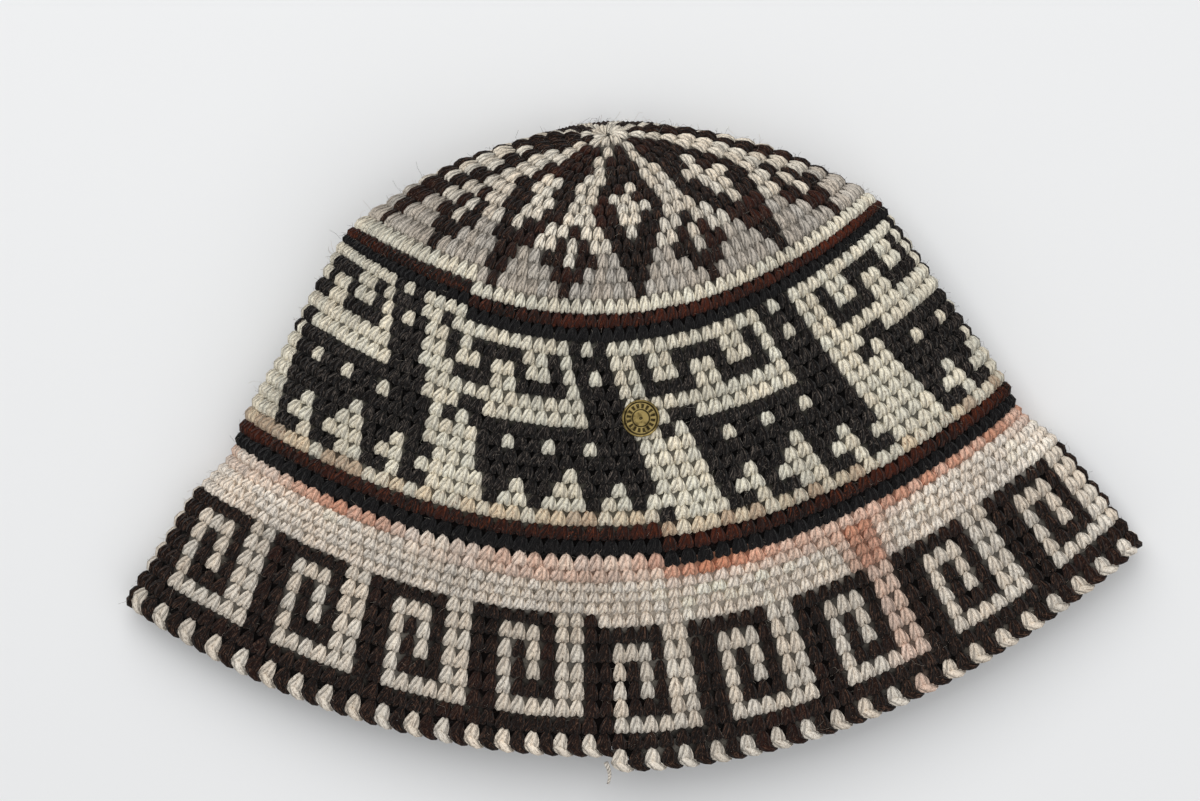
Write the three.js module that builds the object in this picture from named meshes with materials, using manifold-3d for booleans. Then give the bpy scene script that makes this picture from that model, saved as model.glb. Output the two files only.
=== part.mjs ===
// A crocheted sun hat with a domed crown and a flared brim, lying on its back and half collapsed.
// Millimetres. +X is to the wearer's left, +Y points from the brim's edge to the tip of the crown,
// and +Z is up, away from the surface that the back of the hat lies on.
// The fabric is one spiral of single crochet. Its rounds are counted from the tip of the crown, and
// every place on the hat is given by a round and an angle about the hat.
import * as THREE from 'three';
import { mergeVertices } from 'three/addons/utils/BufferGeometryUtils.js';
import Module from 'manifold-3d';

const wasm = await Module();
wasm.setup();

// Sizes of the lying hat
const SPAN = 343.8;          // width across the corners of the brim
const LENGTH = 217.8;        // from the tip of the crown to the front of the brim's edge
const RISE = 57.0;           // height of the front, where the upper band crosses it
const FABRIC = 4.0;          // thickness of the crocheted wool

// Rounds at which the yarn or the pattern changes
const CROWN_ROUNDS = 15;
const BAND_ROUNDS = 2;
const WALL_ROUNDS = 14;
const BRIM_ROUNDS = 12;
const EDGING_ROUNDS = 1.6;
const JOINT_GAP = 0.06;      // gap between two neighbouring pieces, as a share of a round

// Sizes of the brass badge
const BADGE_RADIUS = 6.2;
const BADGE_THICKNESS = 0.9;
const BADGE_LIP = 0.5;
const POST_RADIUS = 0.9;
const PLATE_RADIUS = 4.0;
const PLATE_THICKNESS = 0.8;
const SEAT = 0.3;            // gap between the badge's parts and the fabric
const BADGE_ROUND = 22.7;
const BADGE_TURN = 0.03;     // share of the quarter turn from the centre front towards the side

// Facets round the hat, the badge and the post's hole, and bands of facets down each piece
const FACETS_ROUND = 64;
const BADGE_FACETS = 32;
const HOLE_FACETS = 12;
const CROWN_STEPS = 9;
const BAND_STEPS = 1;
const WALL_STEPS = 5;
const BRIM_STEPS = 6;
const EDGING_STEPS = 1;
const TIP_CROWDING = 1.15;   // power that draws the crown's facets a little closer near its tip

// Steps over which the direction out of the fabric is measured, and the first round where it is
const SLOPE_ROUNDS = 0.02;
const SLOPE_TURNS = 0.0025;
const SLOPE_FROM = 0.3;

// Sections of the hat by round. Half is a share of half the span. Y values are shares of the length,
// from the brim's edge at the centre front. Z values are shares of the rise.
// Corner is the share of the half width over which the side rounds off, swell is how much of the
// front's height is a wide arch and not a rounded side, and sag is the same for the drop in Y.
const SECTIONS = [
  { round: 0, half: 0, sideY: 0.98, sideZ: 0.35, frontY: 0.98, frontZ: 0.35, backY: 0.98, backZ: 0.35,
    corner: 1, swell: 0, sag: 0 },
  { round: 1, half: 0.033, sideY: 0.981, sideZ: 0.35, frontY: 0.965, frontZ: 0.41, backY: 0.993,
    backZ: 0.29, corner: 1, swell: 0, sag: 0 },
  { round: 3, half: 0.097, sideY: 0.984, sideZ: 0.35, frontY: 0.934, frontZ: 0.526, backY: 1,
    backZ: 0.15, corner: 1, swell: 0, sag: 0.35 },
  { round: 6, half: 0.204, sideY: 0.971, sideZ: 0.34, frontY: 0.888, frontZ: 0.684, backY: 0.985,
    backZ: 0, corner: 0.88, swell: 0.1, sag: 0.75 },
  { round: 9, half: 0.317, sideY: 0.943, sideZ: 0.325, frontY: 0.84, frontZ: 0.807, backY: 0.92,
    backZ: 0, corner: 0.68, swell: 0.2, sag: 0.95 },
  { round: 12, half: 0.42, sideY: 0.903, sideZ: 0.316, frontY: 0.777, frontZ: 0.912, backY: 0.853,
    backZ: 0, corner: 0.5, swell: 0.3, sag: 1 },
  { round: 15, half: 0.512, sideY: 0.856, sideZ: 0.316, frontY: 0.708, frontZ: 0.982, backY: 0.785,
    backZ: 0, corner: 0.38, swell: 0.42, sag: 1 },
  { round: 17, half: 0.535, sideY: 0.834, sideZ: 0.3, frontY: 0.665, frontZ: 1, backY: 0.742,
    backZ: 0, corner: 0.34, swell: 0.5, sag: 1 },
  { round: 24, half: 0.644, sideY: 0.696, sideZ: 0.245, frontY: 0.51, frontZ: 0.93, backY: 0.585,
    backZ: 0, corner: 0.22, swell: 0.55, sag: 1 },
  { round: 31, half: 0.753, sideY: 0.558, sideZ: 0.193, frontY: 0.355, frontZ: 0.842, backY: 0.429,
    backZ: 0, corner: 0.14, swell: 0.6, sag: 1 },
  { round: 33, half: 0.772, sideY: 0.521, sideZ: 0.175, frontY: 0.309, frontZ: 0.8, backY: 0.386,
    backZ: 0, corner: 0.12, swell: 0.6, sag: 1 },
  { round: 38, half: 0.85, sideY: 0.465, sideZ: 0.158, frontY: 0.223, frontZ: 0.54, backY: 0.283,
    backZ: 0, corner: 0.09, swell: 0.5, sag: 1 },
  { round: 42, half: 0.922, sideY: 0.387, sideZ: 0.152, frontY: 0.118, frontZ: 0.456, backY: 0.167,
    backZ: 0, corner: 0.075, swell: 0.5, sag: 1 },
  { round: 46.6, half: 1, sideY: 0.298, sideZ: 0.149, frontY: 0, frontZ: 0.412, backY: 0.041,
    backZ: 0, corner: 0.07, swell: 0.5, sag: 1 },
];

// A column of the table at any round, on a smooth curve through the sections
function column(name, round) {
  const last = SECTIONS.length - 1;
  let k = 0;
  while (k < last - 1 && SECTIONS[k + 1].round < round) k += 1;
  const value = (i) => SECTIONS[i][name];
  const place = (i) => SECTIONS[i].round;
  const slope = (i) => {
    if (i === 0) return (value(1) - value(0)) / (place(1) - place(0));
    if (i === last) return (value(last) - value(last - 1)) / (place(last) - place(last - 1));
    const before = (value(i) - value(i - 1)) / (place(i) - place(i - 1));
    const after = (value(i + 1) - value(i)) / (place(i + 1) - place(i));
    return before * after <= 0 ? 0 : (2 * before * after) / (before + after);
  };
  const width = place(k + 1) - place(k);
  const t = (round - place(k)) / width;
  const a = (1 + 2 * t) * (1 - t) ** 2;
  const b = t * (1 - t) ** 2;
  const c = t * t * (3 - 2 * t);
  const d = t * t * (t - 1);
  return a * value(k) + b * width * slope(k) + c * value(k + 1) + d * width * slope(k + 1);
}

// How far a section has risen at a share of its half width: a rounded side blended with an arch
function rise(share, corner, arch) {
  const into = Math.max(0, (Math.abs(share) - (1 - corner)) / corner);
  const side = Math.sqrt(Math.max(0, 1 - into * into));
  return (1 - arch) * side + arch * (1 - share * share);
}

// A point of the outer face. Turn runs from 0 at the centre front over 0.25 at the side with +X and
// 0.5 at the centre back to 1.
function outer(round, turn) {
  const angle = turn * 2 * Math.PI;
  const get = (name) => column(name, round);
  const front = Math.cos(angle) >= 0;
  const share = Math.sin(angle);
  const corner = get('corner');
  const drop = rise(share, corner, get('sag'));
  const lift = rise(share, corner, front ? get('swell') : 0);
  const centreY = get(front ? 'frontY' : 'backY');
  const centreZ = get(front ? 'frontZ' : 'backZ');
  const y = get('sideY') + (centreY - get('sideY')) * drop;
  const z = get('sideZ') + (centreZ - get('sideZ')) * lift;
  return new THREE.Vector3(get('half') * share * SPAN / 2, (y - 0.5) * LENGTH, z * RISE);
}

// The direction out of the fabric at a point of the outer face
function outward(round, turn) {
  const near = Math.max(round, SLOPE_FROM);
  const along = outer(near + SLOPE_ROUNDS, turn).sub(outer(near - SLOPE_ROUNDS, turn));
  const across = outer(near, turn + SLOPE_TURNS).sub(outer(near, turn - SLOPE_TURNS));
  return across.cross(along).normalize().negate();
}

// A point at a depth below the outer face
function inside(round, turn, depth) {
  return outer(round, turn).addScaledVector(outward(round, turn), -depth);
}

// Turns of the facets, evenly round the hat
const TURNS = Array.from({ length: FACETS_ROUND }, (_, k) => k / FACETS_ROUND);

function meshOf(points, faces) {
  const geometry = new THREE.BufferGeometry();
  geometry.setAttribute('position', new THREE.Float32BufferAttribute(points.flatMap((p) => p.toArray()), 3));
  geometry.setIndex(faces.flat());
  geometry.computeVertexNormals();
  return geometry;
}

// A ring of fabric between two rounds: an outer and an inner face joined by two edges
function ring(first, last, steps) {
  const count = TURNS.length;
  const rounds = Array.from({ length: steps + 1 }, (_, k) => first + ((last - first) * k) / steps);
  const loops = [
    ...rounds.map((round) => TURNS.map((turn) => outer(round, turn))),
    ...rounds.toReversed().map((round) => TURNS.map((turn) => inside(round, turn, FABRIC))),
  ];
  const faces = [];
  loops.forEach((_, k) => {
    const next = (k + 1) % loops.length;
    for (let i = 0; i < count; i += 1) {
      const j = (i + 1) % count;
      faces.push([k * count + i, next * count + i, next * count + j]);
      faces.push([k * count + i, next * count + j, k * count + j]);
    }
  });
  return meshOf(loops.flat(), faces);
}

// The closed top of the hat: two domes joined at the edge of its last round
function dome(last, steps) {
  const count = TURNS.length;
  const rounds = Array.from({ length: steps }, (_, k) => last * ((k + 1) / steps) ** TIP_CROWDING);
  const loops = [
    ...rounds.map((round) => TURNS.map((turn) => outer(round, turn))),
    ...rounds.toReversed().map((round) => TURNS.map((turn) => inside(round, turn, FABRIC))),
  ];
  const tips = [outer(0, 0), inside(0, 0, FABRIC)];
  const tip = loops.length * count;
  const faces = [];
  for (let k = 0; k + 1 < loops.length; k += 1) {
    for (let i = 0; i < count; i += 1) {
      const j = (i + 1) % count;
      faces.push([k * count + i, (k + 1) * count + i, (k + 1) * count + j]);
      faces.push([k * count + i, (k + 1) * count + j, k * count + j]);
    }
  }
  for (let i = 0; i < count; i += 1) {
    const j = (i + 1) % count;
    faces.push([tip, i, j]);
    faces.push([tip + 1, (loops.length - 1) * count + j, (loops.length - 1) * count + i]);
  }
  return meshOf([...loops.flat(), ...tips], faces);
}

function solidOf(geometry) {
  const bare = geometry.clone();
  bare.deleteAttribute('normal');
  if (bare.getAttribute('uv')) bare.deleteAttribute('uv');
  const merged = mergeVertices(bare, 1e-4);
  return new wasm.Manifold(new wasm.Mesh({
    numProp: 3,
    vertProperties: new Float32Array(merged.getAttribute('position').array),
    triVerts: new Uint32Array(merged.index.array),
  }));
}

function geometryOf(solid) {
  const mesh = solid.getMesh();
  const geometry = new THREE.BufferGeometry();
  geometry.setAttribute('position', new THREE.BufferAttribute(new Float32Array(mesh.vertProperties), 3));
  geometry.setIndex(new THREE.BufferAttribute(new Uint32Array(mesh.triVerts), 1));
  geometry.computeVertexNormals();
  return geometry;
}

// Where the badge sits: its turn, and a frame whose Y axis points out of the fabric
const badgeTurn = BADGE_TURN * 0.25;
const badgePlace = outer(BADGE_ROUND, badgeTurn);
const badgeAxis = outward(BADGE_ROUND, badgeTurn);
const badgeTurned = new THREE.Quaternion().setFromUnitVectors(new THREE.Vector3(0, 1, 0), badgeAxis);

function seated(geometry) {
  return geometry.applyQuaternion(badgeTurned).translate(badgePlace.x, badgePlace.y, badgePlace.z);
}

// The badge is a shallow brass cup turned face out, with its post in one piece
function badge() {
  const foot = SEAT;
  const face = foot + BADGE_THICKNESS;
  const end = -(FABRIC + SEAT + PLATE_THICKNESS);
  const profile = [
    new THREE.Vector2(0, end),
    new THREE.Vector2(POST_RADIUS, end),
    new THREE.Vector2(POST_RADIUS, foot),
    new THREE.Vector2(BADGE_RADIUS - BADGE_LIP / 2, foot),
    new THREE.Vector2(BADGE_RADIUS, foot + BADGE_LIP / 2),
    new THREE.Vector2(BADGE_RADIUS, face - BADGE_LIP / 2),
    new THREE.Vector2(BADGE_RADIUS - BADGE_LIP / 2, face),
    new THREE.Vector2(BADGE_RADIUS - BADGE_LIP, face),
    new THREE.Vector2(BADGE_RADIUS - 2 * BADGE_LIP, face - BADGE_LIP / 2),
    new THREE.Vector2(0, face - BADGE_LIP / 2),
  ];
  return seated(geometryOf(solidOf(new THREE.LatheGeometry(profile, BADGE_FACETS))));
}

// The plain plate on the inner face, with the post through its hole
function plate() {
  const top = -(FABRIC + SEAT);
  const bore = POST_RADIUS + SEAT;
  const profile = [
    new THREE.Vector2(bore, top - PLATE_THICKNESS),
    new THREE.Vector2(PLATE_RADIUS, top - PLATE_THICKNESS),
    new THREE.Vector2(PLATE_RADIUS, top),
    new THREE.Vector2(bore, top),
    new THREE.Vector2(bore, top - PLATE_THICKNESS),
  ];
  return seated(geometryOf(solidOf(new THREE.LatheGeometry(profile, BADGE_FACETS))));
}

// The hole in the fabric that the post passes through
function drilled(geometry) {
  const bore = POST_RADIUS + SEAT;
  const hole = new THREE.CylinderGeometry(bore, bore, 4 * FABRIC, HOLE_FACETS);
  return geometryOf(solidOf(geometry).subtract(solidOf(seated(hole))));
}

function wool(colour) {
  return new THREE.MeshStandardMaterial({ color: colour, roughness: 0.95, metalness: 0 });
}

const CREAM = wool(0xdcd3c0);
const BEIGE = wool(0xbeb2a5);
const RUST = wool(0x50281c);
const BLACK = wool(0x191a1c);
const BRASS = new THREE.MeshStandardMaterial({ color: 0xa98b45, roughness: 0.35, metalness: 1 });

const hat = new THREE.Group();

function add(name, geometry, material) {
  const mesh = new THREE.Mesh(geometry, material);
  mesh.name = name;
  hat.add(mesh);
}

const upperBand = CROWN_ROUNDS;
const wall = upperBand + BAND_ROUNDS;
const lowerBand = wall + WALL_ROUNDS;
const brim = lowerBand + BAND_ROUNDS;
const edging = brim + BRIM_ROUNDS;
const half = JOINT_GAP / 2;

add('crown_top', dome(upperBand - half, CROWN_STEPS), CREAM);
add('upper_band', ring(upperBand + half, wall - half, BAND_STEPS), RUST);
add('crown_wall', drilled(ring(wall + half, lowerBand - half, WALL_STEPS)), CREAM);
add('lower_band', ring(lowerBand + half, brim - half, BAND_STEPS), BLACK);
add('brim', ring(brim + half, edging - half, BRIM_STEPS), BEIGE);
add('brim_edging', ring(edging + half, edging + EDGING_ROUNDS, EDGING_STEPS), BLACK);
add('badge', badge(), BRASS);
add('badge_plate', plate(), BRASS);

export default hat;
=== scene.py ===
"""A crocheted wool sun hat with a flared brim, lying on its back, stitch by stitch.

The hat is one spiral of single crochet. Its rounds are counted from the tip of the crown. A place
on it is a round and a turn, from 0 at the centre front over 0.25 at the side with +X to 1. Lengths
are in metres.
"""

import math

import bpy
import numpy as np
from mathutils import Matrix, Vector
from mathutils.kdtree import KDTree


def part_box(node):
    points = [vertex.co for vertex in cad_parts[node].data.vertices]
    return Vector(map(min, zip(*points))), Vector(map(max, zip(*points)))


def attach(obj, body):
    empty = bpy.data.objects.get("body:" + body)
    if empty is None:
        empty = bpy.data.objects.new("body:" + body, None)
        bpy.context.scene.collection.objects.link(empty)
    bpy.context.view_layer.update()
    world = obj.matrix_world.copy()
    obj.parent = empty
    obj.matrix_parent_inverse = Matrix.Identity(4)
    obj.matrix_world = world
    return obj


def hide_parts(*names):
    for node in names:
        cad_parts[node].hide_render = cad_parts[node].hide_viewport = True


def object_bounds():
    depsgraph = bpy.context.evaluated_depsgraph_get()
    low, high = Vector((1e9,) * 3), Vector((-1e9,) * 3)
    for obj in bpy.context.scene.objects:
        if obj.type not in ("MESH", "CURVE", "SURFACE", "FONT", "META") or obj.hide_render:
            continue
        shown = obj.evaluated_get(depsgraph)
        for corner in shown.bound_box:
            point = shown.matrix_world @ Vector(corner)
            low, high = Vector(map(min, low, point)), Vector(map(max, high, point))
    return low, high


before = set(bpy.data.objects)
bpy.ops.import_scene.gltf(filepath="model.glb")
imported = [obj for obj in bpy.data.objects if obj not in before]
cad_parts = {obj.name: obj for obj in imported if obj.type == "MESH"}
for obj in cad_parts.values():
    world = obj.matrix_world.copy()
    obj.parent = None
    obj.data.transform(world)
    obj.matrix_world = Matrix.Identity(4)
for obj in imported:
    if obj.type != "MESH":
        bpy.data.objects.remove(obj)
CAD_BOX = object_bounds()

bl_info = {
    "name": "Crocheted Sun Hat",
    "version": (1, 0, 0),
    "blender": (4, 5, 0),
    "location": "View3D > Sidebar > Hat",
    "description": "Builds a crocheted sun hat from its single stitches",
    "category": "Add Mesh",
}

# Sizes of the lying hat, from the frame
LOW, HIGH = CAD_BOX
SPAN = HIGH.x - LOW.x
LENGTH = HIGH.y - LOW.y
RISE = HIGH.z - LOW.z

# Rounds at which the yarn or the pattern changes
CROWN_END = 15
UPPER_BAND_END = 17
WALL_END = 31
LOWER_BAND_END = 33
PLAIN_END = 38
BRIM_END = 45
LAST_ROUND = 46
EDGING_END = 46.6

# Where the first round lies, the least round that is measured, and how many stitches shift to meet at
# the seam
FIRST_ROUND = 0.75
TIP_ROUND = 0.02
SEAM_REACH = 7

# Fine turns at which a round's length is measured
FINE_TURNS = 1440

# How far apart the points are that give the directions of the fabric, and the least round for them
NEAR_ROUNDS = 0.02
NEAR_TURNS = 0.0025
DIRECTIONS_FROM = 0.3

# Stitches in a round
PETALS = 8
WALL_STITCHES = 112
BRIM_STITCHES = 144

# Where the spiral starts, as a turn just right of the centre front, and where the pattern's rounds
# start, with the first round that starts there
SEAM_TURN = 0.012
PATTERN_SEAMS = ((0, -0.091), (31, 0.012), (39, -0.014), (46, -0.010))

# The rounds of the wall and the brim lie a little higher than evenly, most of all in the lower band
SETTLED = 0.55
SETTLED_FROM, SETTLED_MOST, SETTLED_TO = 18, 33, 44

# The last rounds widen so that the rim is even, but for a notch where the spiral ends
RIM_STRETCH = 0.93
RIM_NOTCH = 0.15

# Where each pattern's first column starts, in stitches from the centre front, and its lean a round
PETAL_START, PETAL_LEAN = 0.25, 0.13
FIGURE_START, FIGURE_LEAN = -1.6, 0.31
SQUARE_START, SQUARE_LEAN = -4.4, 0.08

# How many stitches of each round of the crown its petal takes
PETAL_WIDTHS = (0, 1, 2, 3, 3, 4, 5, 6, 6, 5, 4, 3, 2, 1)

# Sections of the hat by round, as in the frame's fabric walls. Half is a share of half the span, Y
# values are shares of the length from the brim's edge, and Z values are shares of the rise. Corner is
# how soon a section rises from its side, and swell and sag are how round it is in height and length.
SECTION_COLUMNS = (
    "round", "half", "side_y", "side_z", "front_y", "front_z", "back_y", "back_z",
    "corner", "swell", "sag",
)
SECTIONS = np.array([
    (0, 0, 0.98, 0.35, 0.98, 0.35, 0.98, 0.35, 1, 0, 0),
    (1, 0.033, 0.981, 0.35, 0.965, 0.41, 0.993, 0.29, 1, 0, 0),
    (3, 0.097, 0.984, 0.35, 0.934, 0.526, 1, 0.15, 1, 0, 0.35),
    (6, 0.204, 0.971, 0.34, 0.888, 0.684, 0.985, 0, 0.88, 0.1, 0.75),
    (9, 0.317, 0.943, 0.325, 0.84, 0.807, 0.92, 0, 0.68, 0.2, 0.95),
    (12, 0.42, 0.903, 0.316, 0.777, 0.912, 0.853, 0, 0.5, 0.3, 1),
    (15, 0.512, 0.856, 0.316, 0.708, 0.982, 0.785, 0, 0.38, 0.42, 1),
    (17, 0.535, 0.834, 0.3, 0.665, 1, 0.742, 0, 0.34, 0.5, 1),
    (24, 0.644, 0.696, 0.245, 0.51, 0.93, 0.585, 0, 0.22, 0.55, 1),
    (31, 0.753, 0.558, 0.193, 0.355, 0.842, 0.429, 0, 0.14, 0.6, 1),
    (33, 0.772, 0.521, 0.175, 0.309, 0.8, 0.386, 0, 0.12, 0.6, 1),
    (38, 0.85, 0.465, 0.158, 0.223, 0.54, 0.283, 0, 0.09, 0.5, 1),
    (42, 0.922, 0.387, 0.152, 0.118, 0.456, 0.167, 0, 0.075, 0.5, 1),
    (46.6, 1, 0.298, 0.149, 0, 0.412, 0.041, 0, 0.07, 0.5, 1),
])

# Patterns, one letter for a stitch and one line for a round: "." light, "#" dark, "o" grey, "t" tan.
# A petal of the crown, from its left edge, in each of its fourteen rounds
PETAL_CHART = (
    ".",
    "#.",
    "##.",
    "###.",
    "###..",
    "##.#..",
    "#..##..",
    "##...#..",
    "##..##...",
    "##.##..#..",
    "####..#.#..",
    "###oo##.##oo",
    "##oooo###oooo",
    "#oooooo#oooooo",
)
# A figure of the side wall, from its light pillar
FIGURE_CHART = (
    ".............#.#",
    "..#..####..#.###",
    "..#..#..#..#.#.#",
    "..####..####.###",
    ".............###",
    "...##........###",
    "..#.############",
    "....##.##.##.###",
    "....############",
    "....######.#####",
    "....##.##..##.##",
    "....#..#...#..#.",
    "....##.##..##.##",
    "tttttttttttttttt",
)
# A square of the brim, from its left edge
SQUARE_CHART = (
    "######..",
    "##...#..",
    "##.#.#..",
    "##.#.#..",
    "##.###..",
    "##......",
    "########",
    ".#.#.#.#",
)


def linear(colour):
    """A display colour as linear light."""
    return tuple(c / 12.92 if c <= 0.04045 else ((c + 0.055) / 1.055) ** 2.4 for c in colour)


def display(red, green, blue):
    """A display colour from its three values out of 255."""
    return (red / 255, green / 255, blue / 255)


def yarn_colour(name, description, red, green, blue):
    """A setting for the colour of a yarn."""
    return bpy.props.FloatVectorProperty(
        name=name, description=description, subtype="COLOR_GAMMA",
        default=display(red, green, blue), min=0, max=1)


class HatYarns(bpy.types.PropertyGroup):
    """Colours of the wool, as they look on a display."""

    cream: yarn_colour("Cream", "Light yarn of the side wall", 233, 226, 207)
    beige: yarn_colour("Beige", "Light yarn of the crown", 236, 226, 209)
    grey: yarn_colour("Grey", "Grey patches of the crown", 196, 187, 175)
    ash: yarn_colour("Ash", "Plain rounds of the brim", 246, 234, 219)
    tan: yarn_colour("Tan", "Last round of the side wall", 224, 205, 176)
    salmon: yarn_colour("Salmon", "First round of the brim and its streak", 216, 152, 122)
    rust: yarn_colour("Rust", "Upper round of each band", 76, 34, 22)
    black: yarn_colour("Black", "Lower round of each band", 17, 16, 17)
    brown: yarn_colour("Dark brown", "Dark yarn of the crown and the brim", 25, 17, 14)
    charcoal: yarn_colour("Charcoal", "Dark yarn of the side wall", 20, 17, 16)


class HatSizes(bpy.types.PropertyGroup):
    """Sizes that the maker of the hat would change."""

    yarn: bpy.props.FloatProperty(
        name="Yarn radius", description="Radius of one leg of a stitch", unit="LENGTH",
        default=0.0015, min=0.0005, max=0.003)
    hair: bpy.props.FloatProperty(
        name="Hair radius", description="Radius of a stray hair", unit="LENGTH",
        default=0.00004, min=0.00001, max=0.0005)
    unevenness: bpy.props.FloatProperty(
        name="Unevenness", description="How much the stitches differ from each other",
        default=1.0, min=0.0, max=3.0)


# The shape of the fabric

def column(name, rounds):
    """A column of the sections at any rounds, on a smooth curve through them."""
    places = SECTIONS[:, 0]
    values = SECTIONS[:, SECTION_COLUMNS.index(name)]
    width = np.diff(places)
    steep = np.diff(values) / width
    before, after = steep[:-1], steep[1:]
    product = before * after
    total = np.where(np.abs(before + after) < 1e-12, 1, before + after)
    inner = np.where(product <= 0, 0, 2 * product / total)
    slope = np.concatenate([steep[:1], inner, steep[-1:]])
    k = np.clip(np.searchsorted(places, rounds, side="left") - 1, 0, len(places) - 2)
    t = (rounds - places[k]) / width[k]
    a = (1 + 2 * t) * (1 - t) ** 2
    b = t * (1 - t) ** 2
    c = t * t * (3 - 2 * t)
    d = t * t * (t - 1)
    return a * values[k] + b * width[k] * slope[k] + c * values[k + 1] + d * width[k] * slope[k + 1]


def rise(share, corner, arch):
    """How far a section has risen at a share of its half width."""
    into = np.maximum(0, (np.abs(share) - (1 - corner)) / corner)
    side = np.sqrt(np.maximum(0, 1 - into * into))
    return (1 - arch) * side + arch * (1 - share * share)


def outer(rounds, turns):
    """Points of the outer face of the fabric."""
    rounds, turns = np.broadcast_arrays(np.asarray(rounds, float), np.asarray(turns, float))
    get = {name: column(name, rounds) for name in SECTION_COLUMNS[1:]}
    angle = turns * 2 * np.pi
    front = np.cos(angle) >= 0
    share = np.sin(angle)
    drop = rise(share, get["corner"], get["sag"])
    lift = rise(share, get["corner"], np.where(front, get["swell"], 0))
    centre_y = np.where(front, get["front_y"], get["back_y"])
    centre_z = np.where(front, get["front_z"], get["back_z"])
    y = get["side_y"] + (centre_y - get["side_y"]) * drop
    z = get["side_z"] + (centre_z - get["side_z"]) * lift
    return np.stack([get["half"] * share * SPAN / 2, (y - 0.5) * LENGTH, z * RISE], -1)


def unit(vectors):
    """The same directions with length 1."""
    return vectors / np.maximum(np.linalg.norm(vectors, axis=-1, keepdims=True), 1e-12)


def directions(rounds, turns):
    """At each place, the unit vectors along the round, down the hat and out of the fabric."""
    near = np.maximum(rounds, DIRECTIONS_FROM)
    down = outer(near + NEAR_ROUNDS, turns) - outer(near - NEAR_ROUNDS, turns)
    along = outer(near, turns + NEAR_TURNS) - outer(near, turns - NEAR_TURNS)
    out = unit(np.cross(down, along))
    along = unit(along)
    return along, unit(np.cross(along, out)), out


class Courses:
    """Places of the stitches on the fabric, evenly along each round."""

    def __init__(self):
        self.turns = np.linspace(0, 1, FINE_TURNS + 1)

    def lengths(self, number):
        """Length along a round from the centre front, at the fine turns."""
        points = outer(number - 0.5, self.turns)
        steps = np.linalg.norm(np.diff(points, axis=0), axis=1)
        return np.concatenate([[0], np.cumsum(steps)])

    def turn_at(self, number, shares):
        """The turns at shares of a round's length, which may lie outside 0 to 1."""
        run = self.lengths(number)
        whole = np.floor(shares)
        return whole + np.interp((shares - whole) * run[-1], run, self.turns)

    def share_at(self, number, turn):
        """The share of a round's length at a turn."""
        run = self.lengths(number)
        return np.interp(turn, self.turns, run) / run[-1]

    def width(self, number, count):
        """Width of a stitch in a round."""
        return self.lengths(number)[-1] / count


COURSES = Courses()


def stitch_count(number):
    """Stitches in a round, counted from 1 at the tip."""
    if number < CROWN_END:
        return PETALS * number
    if number <= LOWER_BAND_END:
        return WALL_STITCHES
    if number <= PLAIN_END:
        grown = (BRIM_STITCHES - WALL_STITCHES) * (number - LOWER_BAND_END - 1)
        return WALL_STITCHES + grown // (PLAIN_END - LOWER_BAND_END - 1)
    return BRIM_STITCHES


def lean(number):
    """Where the first column of a round's pattern starts, in stitches from the centre front."""
    if number < CROWN_END:
        return PETAL_START + PETAL_LEAN * number - PETAL_WIDTHS[number - 1] / 2
    if number <= LOWER_BAND_END:
        return FIGURE_START + FIGURE_LEAN * (number - UPPER_BAND_END)
    return SQUARE_START + SQUARE_LEAN * (number - PLAIN_END)


def seam_of(number):
    """The turn at which a round of the pattern starts."""
    return [turn for first, turn in PATTERN_SEAMS if number >= first][-1]


def start_of(number):
    """Where a round starts along the spiral, in rounds."""
    return number - 1 + SEAM_TURN - seam_of(number)


def smooth(value):
    """A smooth step from 0 to 1."""
    value = np.clip(value, 0, 1)
    return value * value * (3 - 2 * value)


def settle(rounds, turns):
    """Rounds evenly along the fabric, from rounds as they are crocheted."""
    before = (rounds - SETTLED_FROM) / (SETTLED_MOST - SETTLED_FROM)
    after = (SETTLED_TO - rounds) / (SETTLED_TO - SETTLED_MOST)
    spiral = np.mod(seam_of(EDGING_END) - turns, 1)
    stretched = (RIM_STRETCH - spiral) * smooth(spiral / RIM_NOTCH)
    outward = np.clip((rounds - PLAIN_END) / (EDGING_END - PLAIN_END), 0, 1) ** 2
    return rounds - SETTLED * smooth(np.minimum(before, after)) + stretched * outward


def meeting_at(turn, number, places, count):
    """Places in stitches, moved a little near a turn so that one ends there and the next starts."""
    seam = COURSES.share_at(number, turn % 1) * count
    off = seam - lean(number)
    shift = off - np.round(off)
    away = np.abs(np.mod(places - seam + count / 2, count) - count / 2)
    return places + shift * smooth(1 - away / SEAM_REACH)


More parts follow.
